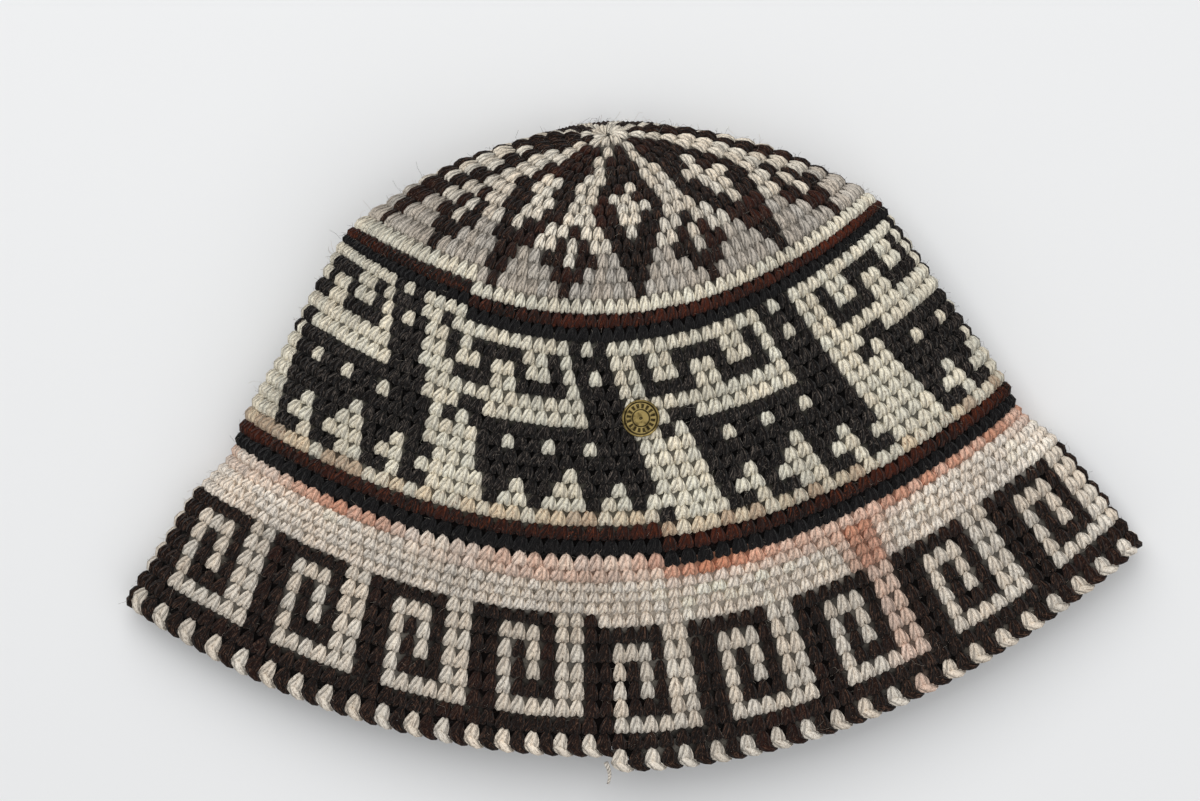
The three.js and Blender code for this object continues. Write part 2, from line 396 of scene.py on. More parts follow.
class Stitches:
    """The stitches of some rounds: their places, directions, sizes, letters and random parts."""

    def __init__(self, first, last, seed):
        chance = np.random.default_rng(seed)
        parts = []
        for number in range(first + 1, last + 1):
            count = stitch_count(number)
            index = np.arange(-2 * count, count + 1)
            places = index + 0.5 + lean(number)
            places = meeting_at(seam_of(number), number, places, count)
            if seam_of(number + 1) != seam_of(number):
                places = meeting_at(seam_of(number + 1), number, places, count)
            turns = COURSES.turn_at(number, places / count)
            spiral = seam_of(number) - turns
            kept = (spiral >= 0) & (spiral < start_of(number + 1) - start_of(number))
            index, turns, spiral = index[kept], turns[kept], spiral[kept]
            count = len(index)
            rounds = start_of(number) + spiral if number > 1 else np.full(count, FIRST_ROUND)
            measured = max(number, FIRST_ROUND + 0.5)
            width = np.full(count, COURSES.width(measured, stitch_count(number)))
            above = outer(settle(np.maximum(rounds - 0.5, TIP_ROUND), turns), turns)
            below = outer(settle(rounds + 0.5, turns), turns)
            height = np.linalg.norm(below - above, axis=1)
            parts.append((np.full(count, number), index, rounds, turns, width, height))
        joined = [np.concatenate(group) for group in zip(*parts)]
        self.number, self.index, self.rounds, self.turns, self.width, self.height = joined
        placed = settle(self.rounds, self.turns)
        self.place = outer(placed, self.turns)
        self.along, self.down, self.out = directions(placed, self.turns)
        self.count = len(self.number)
        self.random = chance.random((self.count, 10))
        self.letters = np.array([letter(*row) for row in zip(self.number, self.index)])

    def paths(self, shape, depth_unit):
        """Centre lines through the points of a shape, or of one shape for each stitch.

        A point is given along as a share of the stitch's width, down as a share of its height, and
        out in the depth unit.
        """
        x, y, z = shape[..., 0], shape[..., 1], shape[..., 2]
        return (
            self.place[:, None]
            + self.along[:, None] * (x * self.width[:, None])[..., None]
            + self.down[:, None] * (y * self.height[:, None])[..., None]
            + self.out[:, None] * (z * depth_unit[:, None])[..., None]
        )


def letter(number, index):
    """The pattern's letter for a stitch of a round."""
    if number < CROWN_END:
        chart = PETAL_CHART[number - 1]
    elif number <= UPPER_BAND_END:
        return "crk"[number - CROWN_END]
    elif number <= WALL_END:
        chart = FIGURE_CHART[number - UPPER_BAND_END - 1]
    elif number <= LOWER_BAND_END:
        return "rk"[number - WALL_END - 1]
    elif number <= PLAIN_END:
        return "s" if number == LOWER_BAND_END + 1 else "a"
    else:
        chart = SQUARE_CHART[number - PLAIN_END - 1]
    return chart[index % len(chart)]


# Colours of the stitches

# The salmon streak across the front of the brim: where it starts and ends, how wide it is on each
# side, the least height of the front there, and its share
STREAK_START = (0.073, -0.028)
STREAK_END = (0.099, -0.092)
STREAK_WIDTH = 0.006
STREAK_FLOOR = 0.012
STREAK_SHARE = 0.85

# Stray fibres in each yarn
HAIRS = {
    "cream": display(142, 126, 108),
    "tan": display(128, 84, 56),
    "salmon": display(122, 84, 66),
    "ash": display(126, 106, 90),
    "grey": display(40, 31, 26),
    "beige": display(84, 68, 56),
    "rust": display(114, 58, 35),
    "black": display(54, 50, 49),
    "brown": display(104, 78, 64),
    "charcoal": display(116, 106, 98),
}

# The palest of the hairs that stand off the wool
PALE_HAIR = display(196, 184, 170)

# The letters that stand for one yarn wherever they are
LETTER_YARNS = {
    "c": "cream", "t": "tan", "s": "salmon", "a": "ash", "o": "grey", "r": "rust", "k": "black",
}

# Lengths over which the colours drift
DRIFT_LENGTH = 0.06
SALMON_LENGTH = 0.09
RUST_LENGTH = 0.03
RED_LENGTH = 0.025
GREY_LENGTH = 0.04

# The slow noise is a sum of waves, whose lengths and starts differ
WAVES = 6
WAVE_STRETCH = (0.6, 1.4)
WAVE_START = 6.3
WAVE_SUM = 3.2

# How much of the rust the brown hides in the upper band's front, how fast that fades to the right and
# to the left for each metre, and how much it is in the lower band
FRONT_DULL = 1.0
RIGHT_FADE, LEFT_FADE = 8, -4
LOWER_DULL = 0.6

# The most rust in the dark stitches of the crown and of the brim
CROWN_RED, BRIM_RED = 0.34, 0.14

# The light stitches of the squares are darker than the plain brim
SQUARE_SHADE = 0.74


def slow_noise(places, seed, size):
    """Smooth random values from -1 to 1 that change over a length."""
    chance = np.random.default_rng(seed)
    total = np.zeros(len(places))
    for _ in range(WAVES):
        way = unit(chance.normal(size=3))
        phase = places @ way * 2 * np.pi / size * chance.uniform(*WAVE_STRETCH)
        total += np.sin(phase + chance.uniform(0, WAVE_START))
    return total / WAVE_SUM


def streak_weight(places):
    """How much of the salmon streak across the brim lies on each stitch, from 0 to 1."""
    start, end = np.array(STREAK_START), np.array(STREAK_END)
    run = end - start
    along = np.clip(((places[:, :2] - start) @ run) / (run @ run), 0, 1)
    away = np.linalg.norm(places[:, :2] - start - along[:, None] * run, axis=1)
    front = places[:, 2] > STREAK_FLOOR
    return np.clip(1.5 - away / STREAK_WIDTH, 0, 1) * front


def yarn_names(stitches):
    """The name of each stitch's yarn."""
    wall = (stitches.number > UPPER_BAND_END) & (stitches.number <= WALL_END)
    light = np.where(wall, "cream", "beige")
    dark = np.where(wall, "charcoal", "brown")
    return [
        light[k] if mark == "." else dark[k] if mark == "#" else LETTER_YARNS[mark]
        for k, mark in enumerate(stitches.letters)
    ]


def stitch_colours(stitches, yarns):
    """Linear colours of the yarn and of the stray hairs on it, for each stitch."""
    chosen = yarn_names(stitches)
    linear_of = {name: np.array(linear(getattr(yarns, name))) for name in HAIRS}
    colours = np.array([linear_of[name] for name in chosen])
    mark = stitches.letters
    crown = stitches.number < CROWN_END
    wall = (stitches.number > UPPER_BAND_END) & (stitches.number <= WALL_END)
    second = stitches.number == LOWER_BAND_END + 2
    brim = stitches.number > LOWER_BAND_END + 1
    square = brim & (mark == ".")
    drift = slow_noise(stitches.place, 5, DRIFT_LENGTH)
    chance = stitches.random[:, 0]

    def blend(mask, target, weight):
        share = np.clip(np.where(mask, weight, 0), 0, 1)[:, None]
        return colours * (1 - share) + target * share

    # The salmon of the brim's first round comes and goes, and some of it is in the next round
    colours = blend(mark == "s", linear_of["ash"], 0.35 - 0.45 * drift + 0.3 * (chance - 0.5))
    salmon = 0.3 + 0.4 * slow_noise(stitches.place, 8, SALMON_LENGTH)
    colours = blend(second & (mark == "a"), linear_of["salmon"], salmon)
    streak = STREAK_SHARE * streak_weight(stitches.place)
    colours = blend(brim & np.isin(mark, ["a", "."]), linear_of["salmon"], streak)

    # About half of the tan stitches are nearly cream
    colours = blend(mark == "t", linear_of["cream"], np.where(chance < 0.45, 0.9, 0.15))

    # Brown hides part of the rust in the bands, and rust shows in the other dark stitches
    across = stitches.place[:, 0]
    upper = stitches.number <= UPPER_BAND_END
    fade = np.where(across > 0, RIGHT_FADE, LEFT_FADE)
    dull = np.where(upper, FRONT_DULL - fade * across, LOWER_DULL)
    dull = dull + 0.4 * slow_noise(stitches.place, 6, RUST_LENGTH) + 0.5 * (chance - 0.5)
    colours = blend(mark == "r", linear_of["brown"], dull)
    red = np.clip(slow_noise(stitches.place, 9, RED_LENGTH), 0, 1)
    red = np.where(crown, CROWN_RED, BRIM_RED) * red * (0.4 + chance)
    colours = blend(~wall & (mark == "#"), linear_of["rust"], red)
    colours = blend((mark == "t") & (chance > 0.8), linear_of["rust"] * 1.8, 0.35)

    # The light stitches of the squares are greyer, and so are some of the crown's
    colours = blend(square, linear_of["ash"] * SQUARE_SHADE, 0.6)
    grey = 0.35 * np.clip(slow_noise(stitches.place, 7, GREY_LENGTH), 0, 1)
    colours = blend(crown & (mark == "."), linear_of["grey"], grey)

    # Each stitch is a little lighter or darker, and warmer or cooler, than the next
    wander = 1 + 0.07 * drift + 0.2 * (chance - 0.5)
    colours = colours * wander[:, None]
    warm = (stitches.random[:, 1] - 0.5) * 0.06
    colours = colours * np.stack([1 + warm, np.ones_like(warm), 1 - warm], 1)
    hairs = np.array([linear(HAIRS[name]) for name in chosen])
    hairs = np.where(square[:, None], np.array(linear(HAIRS["ash"])), hairs)
    return np.clip(colours, 0, 1), hairs


# Making meshes of yarn

class Yarn:
    """Collects tubes of yarn and makes one mesh of them."""

    def __init__(self):
        self.points = []
        self.faces = []
        self.colours = []
        self.hairs = []
        self.plies = []
        self.total = 0

    def add(self, paths, radii, normals, colours, hairs, chance, sides, turns_of_ply, closed=True):
        """Adds a tube along each path, with closed ends where it has an even number of sides."""
        amount, steps, _ = paths.shape
        tangent = unit(np.gradient(paths, axis=1))
        side = unit(np.cross(tangent, normals[:, None]))
        up = np.cross(side, tangent)
        angle = np.arange(sides) / sides * 2 * np.pi - np.pi / 2
        ring = (
            side[:, :, None] * np.cos(angle)[None, None, :, None]
            + up[:, :, None] * np.sin(angle)[None, None, :, None]
        )
        points = paths[:, :, None] + ring * radii[:, :, None, None]
        base = self.total + np.arange(amount)[:, None, None] * steps * sides
        step = np.arange(steps - 1)[None, :, None] * sides
        here = np.arange(sides)[None, None]
        after = (here + 1) % sides
        walls = np.stack(np.broadcast_arrays(
            base + step + here, base + step + after,
            base + step + sides + after, base + step + sides + here,
        ), -1).reshape(-1, 4)
        self.points.append(points.reshape(-1, 3))
        self.faces.append(walls)
        if closed:
            fan = np.array([[0, 2 * k + 3, 2 * k + 2, 2 * k + 1] for k in range(sides // 2 - 1)])
            start = base[:, 0, 0][:, None, None] + fan[None]
            end = start[..., ::-1] + (steps - 1) * sides
            self.faces += [start.reshape(-1, 4), end.reshape(-1, 4)]
        each = steps * sides
        self.colours.append(np.repeat(colours, each, axis=0))
        self.hairs.append(np.repeat(hairs, each, axis=0))
        run = np.linspace(0, turns_of_ply, steps)[None, :, None]
        turn = (np.arange(sides) / sides)[None, None]
        ply = np.stack(np.broadcast_arrays(
            run + 0 * turn, turn + 0 * run, chance[:, None, None] + 0 * run * turn), -1)
        self.plies.append(ply.reshape(-1, 3))
        self.total += amount * each

    def add_core(self, first, last, colour_of, spiral_end):
        """Adds the closed wall behind the stitches, between two rounds."""
        columns = CORE_COLUMNS
        rounds = np.linspace(first, last, max(2, int(round(last - first)) + 1))
        turns = seam_of(EDGING_END) + np.arange(columns) / columns
        grid_rounds, grid_turns = np.meshgrid(rounds, turns, indexing="ij")
        if spiral_end:
            grid_rounds[-1] = last - 1 + np.mod(seam_of(EDGING_END) - turns, 1)
        grid_rounds = settle(grid_rounds, grid_turns)
        _, _, out = directions(grid_rounds, grid_turns)
        face = outer(grid_rounds, grid_turns)
        shell = np.concatenate([face - out * CORE_TOP, (face - out * CORE_BOTTOM)[::-1]])
        count = len(shell)
        here = np.arange(columns)
        after = (here + 1) % columns
        rows = np.arange(count)[:, None]
        below = (rows + 1) % count
        faces = np.stack(np.broadcast_arrays(
            rows * columns + here, below * columns + here,
            below * columns + after, rows * columns + after), -1).reshape(-1, 4)
        colours = colour_of(grid_rounds, grid_turns).reshape(len(rounds), columns, 3)
        colours = np.concatenate([colours, colours[::-1]]).reshape(-1, 3)
        self.points.append(shell.reshape(-1, 3))
        self.faces.append(faces + self.total)
        self.colours.append(colours)
        self.hairs.append(colours)
        self.plies.append(np.zeros((count * columns, 3)))
        self.total += count * columns

    def make(self, name, material):
        """The mesh object of all that was added, flattened where it lies on the floor."""
        points = np.concatenate(self.points)
        points[:, 2] = np.maximum(points[:, 2], 0.0)
        faces = np.concatenate(self.faces)
        mesh = bpy.data.meshes.new(name)
        mesh.vertices.add(len(points))
        mesh.vertices.foreach_set("co", points.astype(np.float32).ravel())
        mesh.loops.add(len(faces) * 4)
        mesh.loops.foreach_set("vertex_index", faces.astype(np.int32).ravel())
        mesh.polygons.add(len(faces))
        mesh.polygons.foreach_set("loop_start", np.arange(len(faces), dtype=np.int32) * 4)
        mesh.update(calc_edges=True)
        mesh.shade_smooth()
        for attribute, values in (("yarn", self.colours), ("hair", self.hairs)):
            colour = np.concatenate(values)
            full = np.concatenate([colour, np.ones((len(colour), 1))], 1).astype(np.float32)
            layer = mesh.attributes.new(attribute, "FLOAT_COLOR", "POINT")
            layer.data.foreach_set("color", full.ravel())
        ply = np.concatenate(self.plies).astype(np.float32)
        mesh.attributes.new("ply", "FLOAT_VECTOR", "POINT").data.foreach_set("vector", ply.ravel())
        piece = bpy.data.objects.new(name, mesh)
        bpy.context.scene.collection.objects.link(piece)
        mesh.materials.append(material)
        return piece


# A stitch from its left foot over its tip to its right foot: along as a share of the stitch's width,
# down as a share of the round's height, out of the fabric in yarn radii, and thickness in yarn radii
LEG = np.array([
    (0.285, 0.47, -2.20, 0.62),
    (0.266, 0.28, -0.85, 1.03),
    (0.226, 0.02, -0.38, 1.12),
    (0.148, -0.29, -0.58, 0.90),
    (0.055, -0.59, -1.30, 0.54),
])
LOOP = np.concatenate([LEG * (-1, 1, 1, 1), LEG[::-1]])
LOOP_SIDES = 6
STITCH_LEAN = 0.05
LOOP_PLY = 1.8

# The yarn's radius as a share of a stitch's width
YARN_SHARE = 0.265

# How much the loops differ: tilt, place along, height, place down, place out and thickness
TILT_CHANCE = 0.10
ALONG_CHANCE = 0.04
HEIGHT_CHANCE = 0.05
DOWN_CHANCE = 0.04
OUT_CHANCE = 0.18
THICKNESS_CHANCE = 0.07

# The bar that a stitch shows on the inside of the hat, in the measures of a leg, but out in bar depths
# and with its thickness in bar radii. The bar's radius is a share of the stitch's width.
BAR = np.array([
    (-0.50, 0.10, -1, 0.5),
    (-0.17, 0.00, -1, 1.0),
    (0.17, 0.00, -1, 1.0),
    (0.50, -0.10, -1, 0.5),
])
BAR_DEPTH = 0.0031
BAR_SHARE = 0.2
BAR_SIDES = 4
BAR_PLY = 2.0

# A slanted strand of the rim, in the measures of a leg, and how thick a dark one is for a light one
STRAND = np.array([
    (-0.50, 0.20, -1.60, 0.70),
    (-0.22, 0.36, -0.70, 1.10),
    (0.12, 0.50, -0.50, 1.22),
    (0.50, 0.62, -0.85, 1.10),
    (0.80, 0.68, -1.90, 0.60),
])
DARK_STRAND = 0.9

# The wall behind the stitches: its depths, its columns, the least round that it starts at and how far
# it goes past the last round. It is the stitches' colour made darker as painted shade in the gaps, and
# less so in plain rounds; in patterned rounds the darker colour also stands for the other yarn carried
# inside the stitches.
CORE_TOP = 0.0012
CORE_BOTTOM = 0.0025
CORE_COLUMNS = 144
CORE_FROM = 0.12
CORE_PAST = 0.2
CORE_PAINTED_SHADE = 0.2
PLAIN_PAINTED_SHADE = 0.6


def uneven_loops(stitches, sizes):
    """Centre lines and radii of the outer loops, each a little different."""
    much = sizes.unevenness
    radius = np.minimum(YARN_SHARE * stitches.width, sizes.yarn)
    chance = (stitches.random[:, 2:] - 0.5) * 2 * much
    shape = np.repeat(LOOP[None, :, :3], stitches.count, axis=0)
    tilt = TILT_CHANCE * chance[:, 0:1] - STITCH_LEAN
    shape[..., 0] += tilt * shape[..., 1]
    shape[..., 0] += ALONG_CHANCE * chance[:, 1:2]
    shape[..., 1] *= 1 + HEIGHT_CHANCE * chance[:, 2:3]
    shape[..., 1] += DOWN_CHANCE * chance[:, 3:4]
    shape[..., 2] += OUT_CHANCE * chance[:, 4:5]
    radii = LOOP[None, :, 3] * radius[:, None] * (1 + THICKNESS_CHANCE * chance[:, 5:6])
    return stitches.paths(shape, radius), radii


def crocheted(name, first, last, seed, context):
    """Outer stitches, and the wall behind them with the bars inside, for the rounds of a node."""
    rim = first == BRIM_END
    stitches = Stitches(first, last, seed)
    colours, hairs = stitch_colours(stitches, context.scene.hat_yarns)
    chance = stitches.random[:, 1]
    face = Yarn()
    paths, radii = uneven_loops(stitches, context.scene.hat_sizes)
    face.add(paths, radii, stitches.out, colours, hairs, chance, LOOP_SIDES, LOOP_PLY)
    back = Yarn()
    bars = stitches.paths(BAR[:, :3], np.full(stitches.count, BAR_DEPTH))
    radii = BAR[:, 3] * (BAR_SHARE * stitches.width)[:, None]
    back.add(bars, radii, -stitches.out, colours, hairs, chance, BAR_SIDES, BAR_PLY)

    def colour_of(rounds, turns):
        plain = np.isin(stitches.letters, ["a", "s", "o"])[:, None]
        # The gaps take the nearest stitch's colour, darkened as painted shade
        painted_gap_shade = colours * np.where(plain, PLAIN_PAINTED_SHADE, CORE_PAINTED_SHADE)
        return nearest_colours(stitches, painted_gap_shade, outer(rounds, turns).reshape(-1, 3))

    back.add_core(max(first, CORE_FROM), last + CORE_PAST * rim, colour_of, rim)
    if rim:
        edge_strands(stitches, colours, hairs, face)
    wool = wool_material()
    return face.make(name + "_stitches", wool), back.make(name + "_inside", wool)


def nearest_colours(stitches, colours, points):
    """The colour of the stitch nearest to each point."""
    tree = KDTree(stitches.count)
    for k, place in enumerate(stitches.place):
        tree.insert(place, k)
    tree.balance()
    return np.array([colours[tree.find(p)[1]] for p in points])


def edge_strands(stitches, colours, hairs, yarn):
    """Adds the slanted strands of the braided rim below the last round's stitches."""
    light = stitches.letters == "."
    radius = YARN_SHARE * stitches.width * np.where(light, 1.0, DARK_STRAND)
    paths = stitches.paths(STRAND[:, :3], radius)
    radii = STRAND[None, :, 3] * radius[:, None]
    chance = stitches.random[:, 1]
    yarn.add(paths, radii, stitches.out, colours, hairs, chance, LOOP_SIDES, LOOP_PLY)


# Materials

class Net:
    """A material's nodes, made through sockets that can be calculated with."""

    def __init__(self, name):
        self.material = bpy.data.materials.new(name)
        self.material.use_nodes = True
        self.tree = self.material.node_tree
        self.tree.nodes.clear()

    def node(self, kind, output=0, settings=None, **inputs):
        """A node with its settings first, then its values and links, as one output socket."""
        made = self.tree.nodes.new(kind)
        for key, value in (settings or {}).items():
            setattr(made, key, value)
        for key, value in inputs.items():
            self.join(made.inputs[key.replace("_", " ")], value)
        return Socket(self, made.outputs[output])

    def join(self, place, value):
        """Sets an input to a value, or links a socket to it."""
        if isinstance(value, Socket):
            self.tree.links.new(value.socket, place)
        else:
            place.default_value = value

    def math(self, operation, *values):
        """A Math node of some values."""
        made = self.tree.nodes.new("ShaderNodeMath")
        made.operation = operation
        for place, value in zip(made.inputs, values):
            self.join(place, value)
        return Socket(self, made.outputs[0])

    def mix(self, share, first, second, blend="MIX"):
        """Two colours mixed by a share."""
        made = self.tree.nodes.new("ShaderNodeMix")
        made.data_type = "RGBA"
        made.blend_type = blend
        self.join(made.inputs[0], share)
        self.join(made.inputs[6], first)
        self.join(made.inputs[7], second)
        return Socket(self, made.outputs[2])

    def between(self, value, low, high):
        """How far a value is between two others, from 0 to 1 in a smooth step."""
        made = self.tree.nodes.new("ShaderNodeMapRange")
        made.interpolation_type = "SMOOTHSTEP"
        for place, part in zip(made.inputs, (value, low, high)):
            self.join(place, part)
        return Socket(self, made.outputs[0])

    def vector(self, x, y, z):
        """A vector of three values."""
        return self.node("ShaderNodeCombineXYZ", X=x, Y=y, Z=z)

    def parts(self, vector):
        """The three values of a vector."""
        made = self.tree.nodes.new("ShaderNodeSeparateXYZ")
        self.join(made.inputs[0], vector)
        return [Socket(self, made.outputs[k]) for k in range(3)]

    def finish(self, shader):
        """Links a shader to the material's output."""
        output = self.tree.nodes.new("ShaderNodeOutputMaterial")
        self.join(output.inputs["Surface"], shader)
        return self.material


class Socket:
    """An output socket that can be calculated with."""

    def __init__(self, net, socket):
        self.net = net
        self.socket = socket

    def __add__(self, other):
        return self.net.math("ADD", self, other)

    def __sub__(self, other):
        return self.net.math("SUBTRACT", self, other)

    def __rsub__(self, other):
        return self.net.math("SUBTRACT", other, self)

    def __mul__(self, other):
        return self.net.math("MULTIPLY", self, other)

    def __abs__(self):
        return self.net.math("ABSOLUTE", self)


# Strands that the wool is plied from, and how much darker their grooves are, as painted shade
PLIES = 3.0
GROOVE_PAINTED_SHADE = 0.32

# Noise in the wool, in waves for each metre: its fluff, its darker patches and the flecks of hair
FLUFF = 1100.0
PATCHES = 45.0
FLECKS = 520.0

# How much of the hairs' colour shows in streaks and flecks, and how long a fleck is for its width
HAIR_SHARE = 0.65
FLECK_LENGTH = 4.0


def wool_material():
    """Plied wool with stray hairs, coloured by each stitch, with painted shade in the grooves of the
    plies.
    """
    if "wool" in bpy.data.materials:
        return bpy.data.materials["wool"]
    net = Net("wool")
    yarn = net.node("ShaderNodeAttribute", settings={"attribute_name": "yarn"})
    hair = net.node("ShaderNodeAttribute", settings={"attribute_name": "hair"})
    ply = net.node("ShaderNodeAttribute", output=1, settings={"attribute_name": "ply"})
    along, around, chance = net.parts(ply)
    strand = abs(net.math("SINE", (around * PLIES + along) * math.pi))
    place = net.node("ShaderNodeTexCoord", output=3)
    fibre_place = net.vector(along * 1.5, around * 13.0 + along * PLIES, chance * 40.0)
    fibres = net.node("ShaderNodeTexNoise", Vector=fibre_place, Scale=1.5, Detail=3.0)
    fluff = net.node("ShaderNodeTexNoise", Vector=place, Scale=FLUFF, Detail=3.0)
    patch = net.node("ShaderNodeTexNoise", Vector=place, Scale=PATCHES, Detail=2.0)
    groove = net.between(strand, 0.0, 0.6)
    # Painted shade: the yarn's colour is darker in the grooves between the plies
    shade = groove * GROOVE_PAINTED_SHADE + 0.76
    streak = net.between(fibres, 0.55, 0.70)
    colour = net.mix(streak * HAIR_SHARE, yarn, hair)
    x, y, z = net.parts(place)
    rising = net.vector(x + y, (x - y) * FLECK_LENGTH, z)
    falling = net.vector((x + y * 0.4) * FLECK_LENGTH, y - x * 0.4, z)
    for way in (rising, falling):
        flecks = net.node("ShaderNodeTexNoise", Vector=way, Scale=FLECKS, Detail=2.0)
        colour = net.mix(net.between(flecks, 0.61, 0.70) * HAIR_SHARE, colour, hair)
    # The painted groove shade, times the random fluff and patches, darkens the colour
    light = shade * (fluff * 0.8 + 0.66) * (patch * 0.4 + 0.8)
    colour = net.mix(1.0, colour, net.vector(light, light, light), "MULTIPLY")
    height = groove * 0.8 + fibres * 0.6 + fluff * 1.2
    bump = net.node("ShaderNodeBump", Strength=1.0, Distance=0.0008, Height=height)
    shader = net.node(
        "ShaderNodeBsdfPrincipled", Base_Color=colour, Normal=bump, Roughness=0.95,
        Specular_IOR_Level=0.08, Sheen_Weight=0.06, Sheen_Roughness=0.5)
    return net.finish(shader)


# Marks on the badge, as shares of its radius: its first ring, the way from a ring to the next, and the
# band of strokes between them with the strokes in half a turn
RING = 0.25
RING_STEP = 0.4
BAND_FROM, BAND_TO = 0.50, 0.78
BAND_EDGE = 0.04
STROKES = 8.0

# Colours of the brass, in linear light: worn bright, stained and engraved
BRIGHT_BRASS = (0.30, 0.225, 0.085, 1)
STAINED_BRASS = (0.11, 0.08, 0.03, 1)
ENGRAVED_BRASS = (0.015, 0.012, 0.007, 1)


def brass_material(low, high):
    """Worn brass for a badge in a box, with two rings and short strokes between them."""
    net = Net("brass")
    place = net.node("ShaderNodeTexCoord", output=3)
    x, y, z = net.parts(place)
    middle = (low + high) / 2
    span = (high.x - low.x) / 2
    across = (x - middle.x) * (1 / span)
    upward = (y - middle.y) * (1 / span)
    away = net.math("SQRT", across * across + upward * upward)
    rings = abs(net.math("COSINE", (away - RING) * (math.pi / RING_STEP)))
    around = net.math("ARCTAN2", upward, across)
    strokes = net.between(abs(net.math("SINE", around * STROKES)), 0.55, 0.8)
    starts = net.between(away, BAND_FROM, BAND_FROM + BAND_EDGE)
    ends = net.between(away, BAND_TO - BAND_EDGE, BAND_TO)
    band = starts * (1.0 - ends)
    marks = net.math("MAXIMUM", 1.0 - net.between(rings, 0.1, 0.45), strokes * band)
    wear = net.node("ShaderNodeTexNoise", Vector=place, Scale=500.0, Detail=4.0)
    stain = net.between(wear, 0.45, 0.7)
    colour = net.mix(stain, BRIGHT_BRASS, STAINED_BRASS)
    colour = net.mix(marks * 0.9, colour, ENGRAVED_BRASS)
    height = wear * 0.4 - marks * 0.7
    bump = net.node("ShaderNodeBump", Strength=0.5, Distance=0.0003, Height=height)
    shader = net.node(
        "ShaderNodeBsdfPrincipled", Base_Color=colour, Metallic=1.0, Normal=bump,
        Roughness=stain * 0.25 + 0.28)
    return net.finish(shader)


def floor_material():
    """A plain white surface."""
    net = Net("floor_white")
    shader = net.node(
        "ShaderNodeBsdfPrincipled", Base_Color=(*linear(FLOOR_WHITE), 1), Roughness=0.9,
        Specular_IOR_Level=0.2)
    return net.finish(shader)


# Hairs that stand off the wool

# Share of long hairs, and how much longer they are
LONG_SHARE = 0.12
LONGER = 2.2

# How far from the middle of a stitch a hair starts, as a share of its size, and how deep in the yarn
HAIR_REACH = 0.45
HAIR_ROOT = 0.0003

# How much a hair heads out of the fabric, and how much it turns at each point
HAIR_OUT = 0.9
HAIR_CURL = 0.75

# Shares of pale hairs and of hairs like the fibres, which are darker here
PALE_SHARE = 0.30
FIBRE_SHARE = 0.30
FIBRE_SHADE = 0.6

# The loose end of yarn at the rim: its round and turn, length, radii from rim to end, points, how far
# it bends along the rim and into the fabric, how deep it starts, and its colour
TAIL_ROUND = 46.2
TAIL_TURN = -0.012
TAIL_LENGTH = 0.0075
TAIL_RADII = (0.0009, 0.0005)
TAIL_POINTS = 9
TAIL_BEND = 0.0012
TAIL_SINK = 0.002
TAIL_ROOT = 0.001
TAIL_WHITE = display(226, 218, 206)


def stray_hairs(context, name, amount, steps, shortest, longest, seed):
    """Fine curly hairs that start on random stitches."""
    stitches = Stitches(0, LAST_ROUND, seed)
    colours, hairs = stitch_colours(stitches, context.scene.hat_yarns)
    chance = np.random.default_rng(seed)
    picked = chance.integers(0, stitches.count, amount)
    length = chance.uniform(shortest, longest, amount)
    length = length * np.where(chance.random(amount) < LONG_SHARE, LONGER, 1)
    paths = np.zeros((amount, steps, 3))
    spread = chance.uniform(-HAIR_REACH, HAIR_REACH, (amount, 2))
    paths[:, 0] = (
        stitches.place[picked]
        + stitches.along[picked] * (spread[:, :1] * stitches.width[picked, None])
        + stitches.down[picked] * (spread[:, 1:] * stitches.height[picked, None])
        - stitches.out[picked] * HAIR_ROOT
    )
    heading = unit(chance.normal(size=(amount, 3)) + stitches.out[picked] * HAIR_OUT)
    for k in range(1, steps):
        heading = unit(heading + HAIR_CURL * chance.normal(size=(amount, 3)))
        paths[:, k] = paths[:, k - 1] + heading * (length / (steps - 1))[:, None]
    radii = np.full((amount, steps), context.scene.hat_sizes.hair)
    own = chance.random(amount)[:, None]
    pale = np.array([linear(PALE_HAIR)])
    fibre = hairs[picked] * FIBRE_SHADE
    shade = np.where(own < PALE_SHARE + FIBRE_SHARE, fibre, colours[picked])
    shade = np.where(own < PALE_SHARE, pale, shade)
    out = stitches.out[picked]
    yarn = Yarn()
    yarn.add(paths, radii, out, shade, shade, chance.random(amount), 3, 1.0, closed=False)
    return yarn.make(name, wool_material())


def yarn_tail(context):
    """The short white end of yarn that hangs from the rim."""
    start = outer(TAIL_ROUND, TAIL_TURN)
    along, down, out = directions(np.array(TAIL_ROUND), np.array(TAIL_TURN))
    steps = np.linspace(0, 1, TAIL_POINTS)[:, None]
    bend = np.sin(steps * 2.6) * TAIL_BEND
    path = start - out * TAIL_ROOT + down * steps * TAIL_LENGTH + along * bend
    path = path - out * steps * TAIL_SINK
    radii = np.linspace(*TAIL_RADII, TAIL_POINTS)[None]
    white = np.array([linear(TAIL_WHITE)])
    yarn = Yarn()
    yarn.add(path[None], radii, out[None], white, white * 0.7, np.array([0.3]), LOOP_SIDES, 6.0)
    return yarn.make("yarn_tail", wool_material())


# Operators

def build_node(context, node, first, last, seed):
    """Crochets the rounds of a node of the frame, which stand for it and move with the hat."""
    for piece in crocheted(node, first, last, seed, context):
        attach(piece, "root")
        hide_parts(node)


class HAT_OT_crown(bpy.types.Operator):
    """Build the crown with its star of petals"""

    bl_idname = "hat.crown"
    bl_label = "Crown"

    def execute(self, context):
        build_node(context, "crown_top", 0, CROWN_END, 11)
        return {"FINISHED"}


class HAT_OT_bands(bpy.types.Operator):
    """Build the two dark bands"""

    bl_idname = "hat.bands"
    bl_label = "Bands"

    def execute(self, context):
        build_node(context, "upper_band", CROWN_END, UPPER_BAND_END, 12)
        build_node(context, "lower_band", WALL_END, LOWER_BAND_END, 13)
        return {"FINISHED"}


